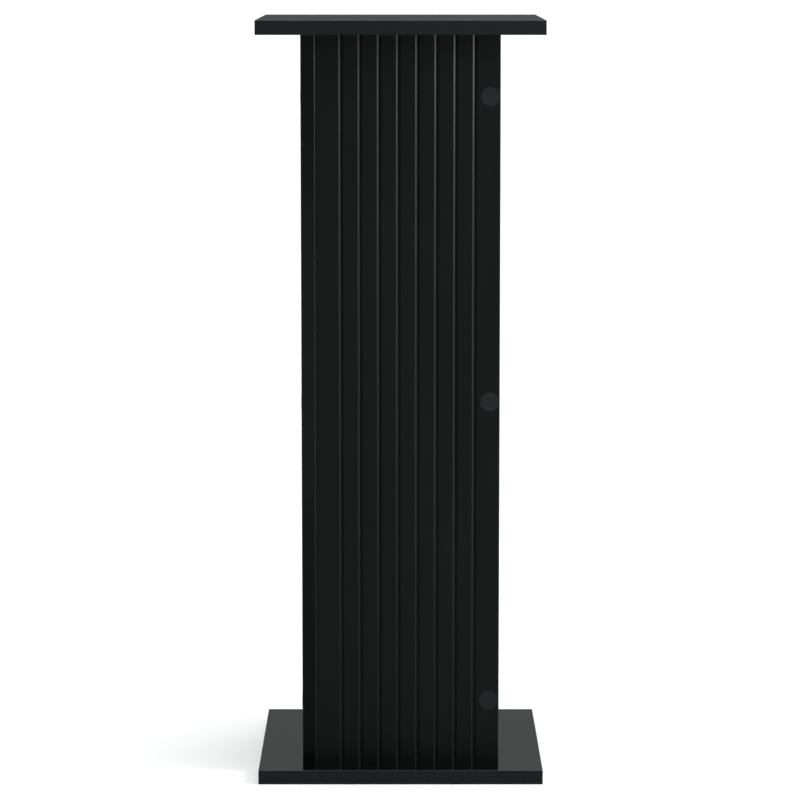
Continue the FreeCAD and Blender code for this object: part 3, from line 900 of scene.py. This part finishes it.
sizes = {
    **cap_sizes,
    "Count": 2,
    "First Place": [-PLATE_SCREW_OFFSET, -JOINT_LINE, top_heads_z],
    "Step": [2 * PLATE_SCREW_OFFSET, 0.0, 0.0],
    "Tilt": [0.0, 0.0, 0.0],
    "Sides": len(SIDES),
    "Turn": 0.0,
}
ring = make_piece("top_plate_cap_ring", caps, sizes)
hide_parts("top_plate_screw_caps")

# ---------------------------------------------------------------- floor and light
# A plain pale studio floor, lit evenly from straight overhead. A tall soft box and a small
# one stand to the right and pick out the grooves, and a low one behind lights the back.

FLOOR_REACH = 60.0
FLOOR_PALE = (0.93, 0.93, 0.93, 1)
OVERHEAD_SPREAD = math.radians(40)
OVERHEAD_STRENGTH = 2.3
ROOM_TINT = (0.945, 1.0, 0.985, 1)
# Each glow of the room: the way to it, how narrow it is, and how bright it is in its middle.
# The ceiling and the right wall were solved for by least squares. The others started from the
# same solve and were then set one by one, as the two side lights were.
ROOM_GLOWS = {
    "ceiling": ((0, 0, 1), 1, 0.63),
    "floor": ((0, 0, -1), 1, 0.30),
    "right wall": ((1, 0, 0), 1, 0.22),
    "left wall": ((-1, 0, 0), 1, 0.015),
    "back wall": ((0, 1, 0), 1, 0.082),
    "card under the camera": ((0, -0.9940, -0.1097), 365, 0.8),
}


def pale_floor():
    """Matt seamless paper."""
    material, tree, shader = start_material("pale_floor")
    shader.inputs["Base Color"].default_value = FLOOR_PALE
    shader.inputs["Roughness"].default_value = 0.9
    shader.inputs["Specular IOR Level"].default_value = 0.0
    return material


def hang_light(name, data, place, aim):
    """Puts a light at a place, turned towards a point."""
    light = bpy.data.objects.new(name, data)
    light.location = place
    light.rotation_euler = (Vector(aim) - Vector(place)).to_track_quat("-Z", "Y").to_euler()
    bpy.context.scene.collection.objects.link(light)


def soft_box(name, place, aim, width, height, watts):
    data = bpy.data.lights.new(name, "AREA")
    data.shape = "RECTANGLE"
    data.size = width
    data.size_y = height
    data.energy = watts
    hang_light(name, data, place, aim)


def studio_room():
    """The dim room round the plinth. The camera itself sees only white past the floor."""
    room = bpy.data.worlds.new("studio_room")
    room.use_nodes = True
    tree = room.node_tree
    way = add_node(tree, "ShaderNodeTexCoord").outputs["Generated"]
    total = 0.0
    for direction, narrowness, brightness in ROOM_GLOWS.values():
        facing = add_node(tree, "ShaderNodeVectorMath", operation="DOT_PRODUCT")
        feed_node(tree, facing, {0: way, 1: direction})
        glow = sum_up(tree, "MAXIMUM", facing.outputs["Value"], 0.0)
        glow = sum_up(tree, "POWER", glow, narrowness)
        total = sum_up(tree, "MULTIPLY_ADD", glow, brightness, total)
    seen = add_node(tree, "ShaderNodeLightPath").outputs["Is Camera Ray"]
    strength = choose(tree, seen, total, 1.0)
    mix = add_node(tree, "ShaderNodeMix", {"Factor": seen}, data_type="RGBA")
    mix.inputs["A"].default_value = ROOM_TINT
    mix.inputs["B"].default_value = (1, 1, 1, 1)
    feeds = {"Color": mix.outputs["Result"], "Strength": strength}
    feed_node(tree, tree.nodes["Background"], feeds)
    return room


floor_corners = [(-FLOOR_REACH, -FLOOR_REACH, 0), (FLOOR_REACH, -FLOOR_REACH, 0)]
floor_corners += [(FLOOR_REACH, FLOOR_REACH, 0), (-FLOOR_REACH, FLOOR_REACH, 0)]
floor_mesh = bpy.data.meshes.new("studio_floor")
floor_mesh.from_pydata(floor_corners, [], [(0, 1, 2, 3)])
floor_mesh.materials.append(pale_floor())
floor = bpy.data.objects.new("studio_floor", floor_mesh)
bpy.context.scene.collection.objects.link(floor)
floor.visible_glossy = False
floor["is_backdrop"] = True

overhead = bpy.data.lights.new("overhead_light", "SUN")
overhead.angle = OVERHEAD_SPREAD
overhead.energy = OVERHEAD_STRENGTH
hang_light("overhead_light", overhead, (0, 0, 4), (0, 0, 0))
soft_box(
    "tall_side_light", place=(1.2, -0.5, 0.7), aim=(0, 0, 0.5), width=0.4, height=1.4, watts=2.6
)
soft_box(
    "small_side_light", place=(0.9, -0.3, 0.92), aim=(0, 0, 0.75), width=0.3, height=0.4, watts=6.5
)
soft_box(
    "low_back_light", place=(-0.9, 1.1, 0.45), aim=(0, 0, 0.42), width=0.5, height=0.8, watts=5.0
)
bpy.context.scene.world = studio_room()

# ---------------------------------------------------------------- camera
# A long lens from well in front, a little above the top plate and tipped down to the middle
# of the plinth. Its place, tilt and lens were solved for by least squares.

CAMERA_LENS = 158.0
CAMERA_PLACE = (-0.0006, -3.7727, 0.8803)
CAMERA_TILT = math.radians(90 - 7.41)

camera_data = bpy.data.cameras.new("camera")
camera_data.lens = CAMERA_LENS
camera = bpy.data.objects.new("camera", camera_data)
camera.location = CAMERA_PLACE
camera.rotation_euler = (CAMERA_TILT, 0, 0)
bpy.context.scene.collection.objects.link(camera)
bpy.context.scene.camera = camera
bpy.context.scene.view_settings.view_transform = "Standard"

low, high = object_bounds()
